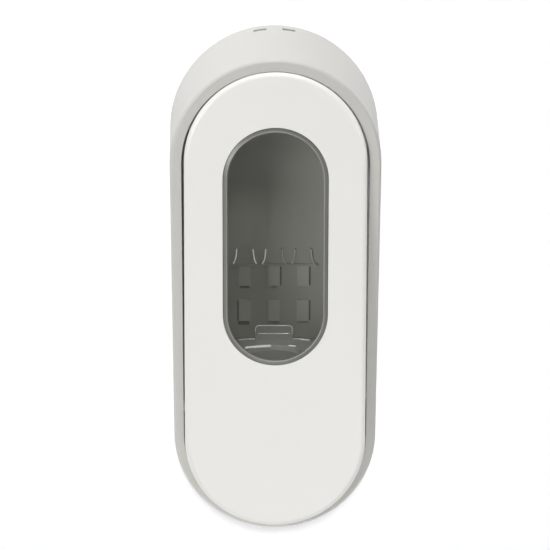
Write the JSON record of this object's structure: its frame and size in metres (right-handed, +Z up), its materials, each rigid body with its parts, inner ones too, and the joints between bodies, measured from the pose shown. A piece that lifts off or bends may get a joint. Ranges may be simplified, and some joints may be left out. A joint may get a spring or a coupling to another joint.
{
  "type": "wall soap dispenser",
  "caption": "Wall mounted push dispenser for liquid soap: upright stadium shell hinged at the bottom, sprung front plate with a smoked window, refill shelf, pump slide and key latch.",
  "frame": {"origin": "middle of the wall plate's back face, on the wall", "axes": "+Z up, +Y into the wall, so the front faces -Y, +X to the right of someone facing it"},
  "size_m": [0.1206, 0.1107, 0.2701],
  "materials": {
    "shell_grey": "fine satin moulding",
    "plate_white": "satin gloss moulding",
    "smoked_clear": "clear smoked moulding",
    "mount_grey": "satin moulding",
    "panel_grey": "satin moulding",
    "shelf_clear": "glossy moulding",
    "frame_grey": "satin moulding",
    "slide_grey": "satin moulding",
    "bearing_white": "smooth bearing plastic",
    "pad_rubber": "soft rubber",
    "steel": "zinc plated",
    "spring_steel": "bright drawn wire"
  },
  "bodies": {
    "back": {"wall_plate": "mount_grey", "refill_panel": "panel_grey", "refill_shelf": "shelf_clear", "guide_rods": "steel", "rod_caps": "steel", "panel_screws": "steel", "shelf_screws": "steel", "pump_spring_left": "spring_steel", "pump_spring_right": "spring_steel", "latch_spring_left": "spring_steel", "latch_spring_right": "spring_steel"},
    "cover": {"cover_shell": "shell_grey", "hinge_pins": "steel", "pivot_rod": "steel", "pivot_clips": "spring_steel"},
    "plate": {"push_plate": "plate_white", "window_lens": "smoked_clear", "window_frame": "frame_grey", "window_screws": "steel", "pusher_arm": "frame_grey", "pusher_pad": "bearing_white", "pusher_screws": "steel"},
    "slide": {"pump_slide": "slide_grey", "slide_bushes": "bearing_white", "pump_pad": "pad_rubber"},
    "latch": {"key_latch": "slide_grey"}
  },
  "joints": [
    {"name": "cover_hinge", "type": "hinge", "parent": "back", "child": "cover", "pos_m": [0, -0.011, -0.1258], "axis": [1, 0, 0], "range_deg": [0, 88]},
    {"name": "plate_pivot", "type": "hinge", "parent": "cover", "child": "plate", "pos_m": [0, -0.0862, 0.11275], "axis": [1, 0, 0], "range_deg": [0, 3]},
    {"name": "pump_travel", "type": "slide", "parent": "back", "child": "slide", "axis": [0, 1, 0], "range_m": [0, 0.01034], "stiffness_N_per_m": 600, "springref_m": -0.01, "deforming": ["pump_spring_left", "pump_spring_right"]},
    {"name": "latch_travel", "type": "slide", "parent": "back", "child": "latch", "axis": [0, 0, -1], "range_m": [0, 0.004], "stiffness_N_per_m": 600, "springref_m": -0.004, "deforming": ["latch_spring_left", "latch_spring_right"]}
  ],
  "couplings": [
    {"joint": "pump_travel", "follows": "plate_pivot", "m_per_rad": 0.19744}
  ]
}
